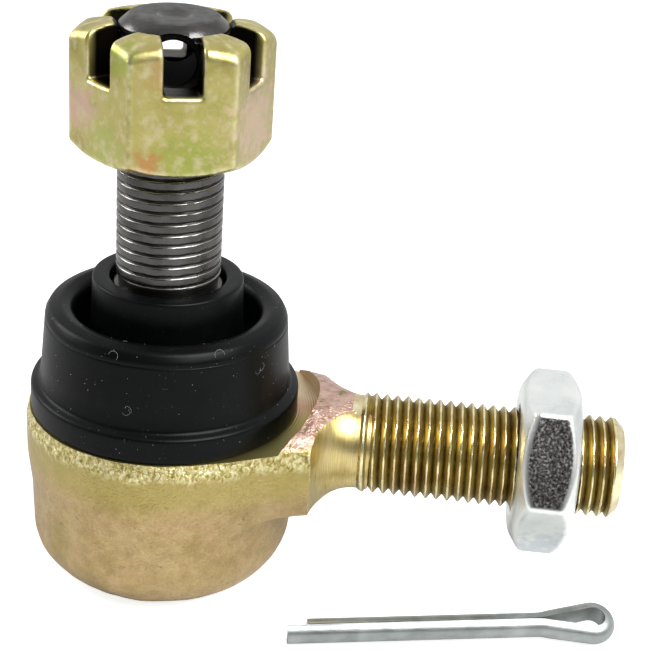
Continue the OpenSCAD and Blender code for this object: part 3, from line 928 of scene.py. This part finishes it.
def jam_distance(p):
    """Distance outside the jam nut: rounded hexagon chamfered at both ends, less its bore."""
    solid = rounded_walls(jam_walls(p), 0.45)
    radius = np.hypot(p[:, Y], p[:, Z] - SHANK_Z)
    return both(solid, bore_wall(radius, p[:, X], SHANK_R + NUT_GAP, JAM_X0, JAM_X1, 0.8), 0.15)


def build_jam_nut(material):
    """The jam nut, marked on its rubbed edges, on its bore for painted shade, and on the flat that faces
    front for painted shade.
    """
    reach = JAM_FLAT / math.cos(math.pi / 6) + 0.6
    points, faces = contour(jam_distance, (JAM_X0 - 0.5, -reach, SHANK_Z - reach),
                            (JAM_X1 + 0.5, reach, SHANK_Z + reach), NUT_STEP)
    obj = mesh_object("jam_nut_body", points, faces, [material], 40)
    walls = jam_walls(points)
    # painted shade on the bore, and on the front flat and the one opposite it
    mark(obj, edge=rubbed_edges(walls, 0.5),
         hollow=np.hypot(points[:, Y], points[:, Z] - SHANK_Z) < SHANK_R + 0.6,
         flat=np.clip((walls[0] - walls[1:].max(0) - 0.12) / 0.35, 0, 1))
    return obj


# ---------- boot ----------


def boot_outline():
    """Line from the base up over the rim, down into the recess, up the collar and back inside."""
    base_top = BOOT_LOW + 2.95
    fold = 28.0
    outer = [(14.05, BOOT_LOW), (FLANGE_R, BOOT_LOW), (FLANGE_R, base_top), (14.6, base_top + 0.4),
             (14.35, base_top + 2.0), (RIM_R + 0.06, 31.85), (RIM_R - 0.04, 31.93), (RIM_R + 0.04, 32.02),
             (RIM_R, 32.5), (RIM_R - 0.5, 33.4), (12.1, 33.8), (11.0, 33.4), (RECESS_R, 32.6),
             (10.4, 29.0), (9.7, fold), (9.1, fold + 0.6), (COLLAR_R + 0.2, 31.0), (COLLAR_R, BOOT_TOP),
             (6.6, BOOT_TOP), (6.6, 35.8), (6.5, 35.6), (6.5, 34.5)]
    inner = [(7.35, 34.5), (7.35, 30.7), (7.8, 30.2), (8.1, 28.4), (8.9, 27.3), (10.6, 26.9),
             (11.7, 28.4), (11.9, 31.6), (12.3, 31.6), (12.8, 26.0), (13.1, base_top + 0.1),
             (14.05, base_top + 0.1), (14.05, BOOT_LOW)]
    return soften(outer + inner, 0.35)[:-1]


def build_boot(material):
    """The boot, turned about the stud's axis in rows no more than half a millimetre apart."""
    rows = fine_rows(boot_outline(), 0.5)
    return lathe("dust_boot_moulding", rows, [material], turns=BOOT_TURNS, closed=True)


def lint_tree():
    """Geometry nodes that scatter specks and curled fibres over the boot's outside."""
    tree, given, sockets = open_tree("scatter_lint", (
        ("Geometry", "Geometry"), ("Specks", "Float"), ("Fibres", "Float"), ("Speck Size", "Float"),
        ("Fibre Size", "Float"), ("Strand Size", "Float"), ("Seed", "Int"), ("Material", "Material")))
    outside = add(tree, "GeometryNodeInputNamedAttribute", {"Name": "outside"}, data_type="BOOLEAN")
    speck = add(tree, "GeometryNodeMeshIcoSphere", {"Radius": given["Speck Size"], "Subdivisions": 1})
    bow = add(tree, "GeometryNodeCurveArc",
              {"Resolution": 9, "Radius": given["Fibre Size"], "Sweep Angle": 3.6})
    strand = add(tree, "GeometryNodeCurvePrimitiveCircle",
                 {"Resolution": 4, "Radius": given["Strand Size"]})
    fibre = add(tree, "GeometryNodeCurveToMesh",
                {"Curve": bow, "Profile Curve": strand, "Fill Caps": True})
    joined = add(tree, "GeometryNodeJoinGeometry", give=None)
    for shape, density, shift in ((speck, "Specks", 0.0), (fibre, "Fibres", 7.0)):
        seed = add(tree, MATHS, {0: given["Seed"], 1: shift}, operation="ADD")
        spread = add(tree, "GeometryNodeDistributePointsOnFaces",
                     {"Mesh": given["Geometry"], "Selection": outside, "Density": given[density],
                      "Seed": seed}, give=None).outputs
        size, spin = (add(tree, "FunctionNodeRandomValue", {2: low, 3: high, "Seed": seed}, give=1,
                          data_type="FLOAT") for low, high in ((0.35, 1.0), (0.0, math.tau)))
        about = add(tree, "FunctionNodeAxisAngleToRotation", {"Axis": (0, 0, 1), "Angle": spin})
        lay = add(tree, "FunctionNodeRotateRotation",
                  {"Rotation": spread["Rotation"], "Rotate By": about}, rotation_space="LOCAL")
        lot = add(tree, "GeometryNodeInstanceOnPoints",
                  {"Points": spread["Points"], "Instance": shape, "Rotation": lay, "Scale": size})
        tree.links.new(lot, joined.inputs[0])
    close_tree(tree, joined.outputs[0], given["Material"])
    return tree, sockets


def build_lint(boot, material):
    """Specks of dust and a few curled fibres lying on the boot."""
    obj = bpy.data.objects.new("boot_lint", boot.data.copy())
    bpy.context.scene.collection.objects.link(obj)
    centres = np.array([p.center for p in obj.data.polygons]) / MM
    normals = np.array([p.normal for p in obj.data.polygons])
    radius = np.hypot(centres[:, X], centres[:, Y])
    outwards = (normals[:, :2] * centres[:, :2]).sum(1) > 0
    outside = ((radius > 12.5) & outwards) | ((centres[:, Z] > 33) & (normals[:, Z] > 0.3))
    obj.data.attributes.new("outside", "BOOLEAN", "FACE").data.foreach_set("value", outside)
    tree, sockets = lint_tree()
    return run_tree(obj, tree, sockets, {
        "Specks": SPECKS, "Fibres": FIBRES, "Speck Size": SPECK_R * MM, "Fibre Size": FIBRE_R * MM,
        "Strand Size": STRAND_R * MM, "Seed": 5, "Material": material})


# ---------- split pin ----------


def pin_path():
    """Inner line of the wire, from one leg's end round the eye to the other leg's end."""
    nose_r = EYE_WIDE / 2 - WIRE
    seam = 0.04
    centre = -EYE_WIDE / 2
    throat = -EYE_LONG - 0.3
    sweep = math.pi * 0.56
    bend = [(centre + nose_r * math.cos(a), nose_r * math.sin(a)) for a in np.linspace(-sweep, sweep, 25)]
    near = [(-EYE_LONG - PIN_LEG, -seam), (throat - 1.5, -seam), (throat, -seam - 0.02),
            (throat + 0.9, -0.3)]
    far = [(throat + 0.9, 0.3), (throat, seam + 0.02), (throat - 1.5, seam),
           (-EYE_LONG - PIN_LEG + PIN_STEP, seam)]
    return fine_rows(soften(near + bend + far, 0.5, 4), 0.9)


def build_pin(material):
    """Half-round wire swept along the pin's path, then laid on the floor."""
    path = pin_path()
    ahead = np.gradient(path, axis=0)
    ahead /= np.linalg.norm(ahead, axis=1, keepdims=True)
    out = np.stack([ahead[:, 1], -ahead[:, 0]], 1)
    arc = np.linspace(0, math.pi, 15)
    back = [(PIN_R * math.cos(a), WIRE * math.sin(a)) for a in arc[1:-1]]
    section = soften([(PIN_R, 0.0)] + back + [(-PIN_R, 0.0), (0.0, 0.0)], 0.12, 3)
    points = [(x + nx * deep, y + ny * deep, side)
              for (x, y), (nx, ny) in zip(path, out) for side, deep in section]
    count = len(section)
    faces = []
    for i in range(len(path) - 1):
        for k in range(count):
            n = (k + 1) % count
            faces.append([i * count + k, i * count + n, (i + 1) * count + n, (i + 1) * count + k])
    faces.append(list(range(count))[::-1])
    faces.append([(len(path) - 1) * count + k for k in range(count)])
    turn = (Matrix.Rotation(PIN_TURN, 3, "Z") @ Matrix.Rotation(PIN_PITCH, 3, "Y")
            @ Matrix.Rotation(PIN_TILT, 3, "X"))
    placed = np.array(points) @ np.array(turn).T + np.array(PIN_AT)
    obj = mesh_object("split_pin_wire", placed, faces, [material], 40)
    mesh = obj.data
    volume = sum(p.center.dot(p.normal) * p.area for p in mesh.polygons)
    if volume < 0:
        mesh.flip_normals()
    return obj


# ---------- the object ----------


def dress(node, material):
    """Gives a shown CAD node its finish."""
    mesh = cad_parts[node].data
    mesh.materials.clear()
    mesh.materials.append(material)


def build_object():
    """Builds the pieces, puts each on its body and in its node's place, and dresses the other nodes."""
    forging = build_housing([forged_zinc(), faced_zinc(), turned_zinc()])
    shank = build_shank(thread(
        "threaded_yellow_zinc",
        # crest painted near white and root painted dark: painted highlight and painted shade
        [(0.0, "fbf3cc"), (0.1, "e9dba0"), (0.2, "6f6230"), (0.3, "c8b670"), (0.75, "a38f4e"),
         (1.0, "4f4119")],
        "b08a5c", 0.3))
    stud = build_stud(thread(
        "threaded_bare_steel",
        # a bright line painted beside the crest and darker roots: painted highlight and painted shade
        [(0.0, "5b5a58"), (0.14, "666562"), (0.24, "cfcecb"), (0.34, "4a4947"), (1.0, "3c3b39")],
        "a3a19c", 0.27, STUD_TOP_Z - 0.12))
    castle = build_castle_nut(nut_zinc(
        "clouded_yellow_zinc",
        [(0.3, "a59a58"), (0.45, "bcb16a"), (0.6, "c6bb76"), (0.75, "aca95a")],
        [((-9.0, -4.7, 57.5), 3.4, 0.8, "d9b3a6"), ((-5.6, -8.0, 54.2), 3.2, 0.6, "aebb66"),
         ((3.8, -8.9, 53.4), 4.6, 0.65, "a3b052"), ((-0.9, -10.3, 53.2), 1.8, 0.8, "c78f5c"),
         # the patch at (9.4, -2.2, 57.0) paints the right-facing flat lighter and pinker: painted light,
         # with a tint
         ((9.4, -2.2, 57.0), 6.5, 0.75, "e8cbb4"), ((0.5, -9.9, 63.5), 2.6, 0.5, "c4986a"),
         ((-3.6, -9.8, 64.6), 2.4, 0.6, "a4b84e"), ((7.0, 8.0, 58.0), 6.0, 0.6, "d9b3a6"),
         ((-8.0, 7.0, 56.0), 5.0, 0.6, "aebb66")],
        "f3ecc0", 0.34, "e2d9bb"))
    jam = build_jam_nut(nut_zinc(
        "clear_bright_zinc",
        [(0.3, "e6ecec"), (0.5, "f4f8f6"), (0.7, "fcfffc")],
        [((45.0, -6.0, 10.0), 5.0, 0.5, "cdd8e2")], "fdfefd", 0.3, "fafcfa"))
    boot = build_boot(boot_rubber())
    lint = build_lint(boot, lint_white())
    pin = build_pin(pin_zinc())

    for obj, body, slot in (
        (forging, "housing", "housing_zinc"),
        (shank, "housing", "housing_zinc"),
        (stud, "ball_stud", "stud_steel"),
        (castle, "castle_nut", "castle_zinc"),
        (jam, "jam_nut", "jam_zinc"),
        (pin, "cotter_pin", "pin_steel"),
    ):
        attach(obj, body)
    for obj in (boot, lint):
        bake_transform(obj)
    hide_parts("housing")
    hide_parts("ball_stud")
    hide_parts("castle_nut")
    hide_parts("jam_nut")
    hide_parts("dust_boot")
    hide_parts("cotter_pin")

    dress("closing_plate", plain_steel("pressed_yellow_zinc", "b8a271", 0.38))
    dress("disc_spring", plain_steel("oiled_spring_steel", "6c6b6c", 0.35))
    pressed = plain_steel("pressed_steel", "a9abae", 0.35)
    for node in ("pressure_ring", "boot_base_ring", "boot_upper_ring"):
        dress(node, pressed)
    plastic = acetal()
    for node in ("lower_bearing_seat", "upper_bearing_seat"):
        dress(node, plastic)


# ---------- floor, light and camera ----------


def build_floor():
    """Pale floor that glows a little, so that its shadows stay faint."""
    f = Finish("pale_floor", 0.0, 0.9)
    f.shader.inputs["Base Color"].default_value = linear(0.62)
    f.shader.inputs["Specular IOR Level"].default_value = 0.0
    f.shader.inputs["Emission Color"].default_value = linear(1.0)
    seen = add(f.tree, "ShaderNodeLightPath", give="Is Camera Ray")
    glow = add(f.tree, RANGE, {"Value": seen, "To Min": 0.09, "To Max": 0.82})
    f.close({"Emission Strength": glow})
    half, top = 1500.0, -0.02
    corners = [(-half, -half, top), (half, -half, top), (half, half, top), (-half, half, top)]
    floor = mesh_object("floor", corners, [(0, 1, 2, 3)], [f.material])


def build_world():
    """White studio with a dim side where the camera stands."""
    world = bpy.data.worlds.new("studio")
    bpy.context.scene.world = world
    world.use_nodes = True
    tree = world.node_tree
    tree.nodes.clear()
    ray = add(tree, "ShaderNodeTexCoord", give="Generated")
    facing = add(tree, VECTORS, {0: ray, 1: (0.1, -0.93, 0.35)}, give="Value", operation="DOT_PRODUCT")
    glow = add(tree, RAMP, {"Fac": facing}, [(0.0, 0.78), (0.3, 0.55), (0.65, 0.16), (1.0, 0.06)])
    seen = add(tree, "ShaderNodeLightPath", give="Is Camera Ray")
    colour = add(tree, MIX, {0: seen, 6: glow, 7: 1.0}, **TINTED)
    shade = add(tree, "ShaderNodeBackground", {"Color": colour, "Strength": 1.0})
    add(tree, "ShaderNodeOutputWorld", {"Surface": shade}, give=None)


def build_lamp(name, place, size, power):
    """Soft square lamp at that place in millimetres, aimed at the middle of the object."""
    lamp = bpy.data.lights.new(name, "AREA")
    lamp.size, lamp.energy = size * MM, power
    obj = bpy.data.objects.new(name, lamp)
    bpy.context.scene.collection.objects.link(obj)
    aim = np.array(MIDDLE) - np.array(place)
    obj.location = np.array(place) * MM
    back = -aim / np.linalg.norm(aim)
    right = np.cross((0, 0, 1), back)
    right /= np.linalg.norm(right)
    axes = [tuple(axis) for axis in (right, np.cross(back, right), back)]
    obj.rotation_euler = Matrix(axes).transposed().to_euler()


def build_camera():
    """Close camera on the front right, a little above and slightly rolled."""
    azimuth, elevation, roll = (math.radians(a) for a in (3.803, 25.037, 4.166))
    distance, aim_x, aim_z = 176.82, 18.15, 32.10
    back = np.array([math.sin(azimuth) * math.cos(elevation),
                     -math.cos(azimuth) * math.cos(elevation), math.sin(elevation)])
    right = np.array([math.cos(azimuth), math.sin(azimuth), 0.0])
    up = np.cross(back, right)
    rolled_right = math.cos(roll) * right + math.sin(roll) * up
    rolled_up = math.cos(roll) * up - math.sin(roll) * right
    lens = bpy.data.cameras.new("camera")
    lens.lens, lens.sensor_width, lens.clip_start = 85.245, 36.0, 0.01
    camera = bpy.data.objects.new("camera", lens)
    bpy.context.scene.collection.objects.link(camera)
    place = right * aim_x + np.array([0, 0, aim_z]) + back * distance
    turn = Matrix([tuple(rolled_right), tuple(rolled_up), tuple(back)]).transposed().to_4x4()
    camera.matrix_world = Matrix.Translation(tuple(place * MM)) @ turn
    bpy.context.scene.camera = camera


bpy.context.scene.view_settings.view_transform = "Standard"
build_object()
build_floor()
build_world()
build_lamp("key", (140, -110, 235), 190, 1.1)
build_lamp("left", (-220, 40, 140), 120, 0.25)
build_camera()
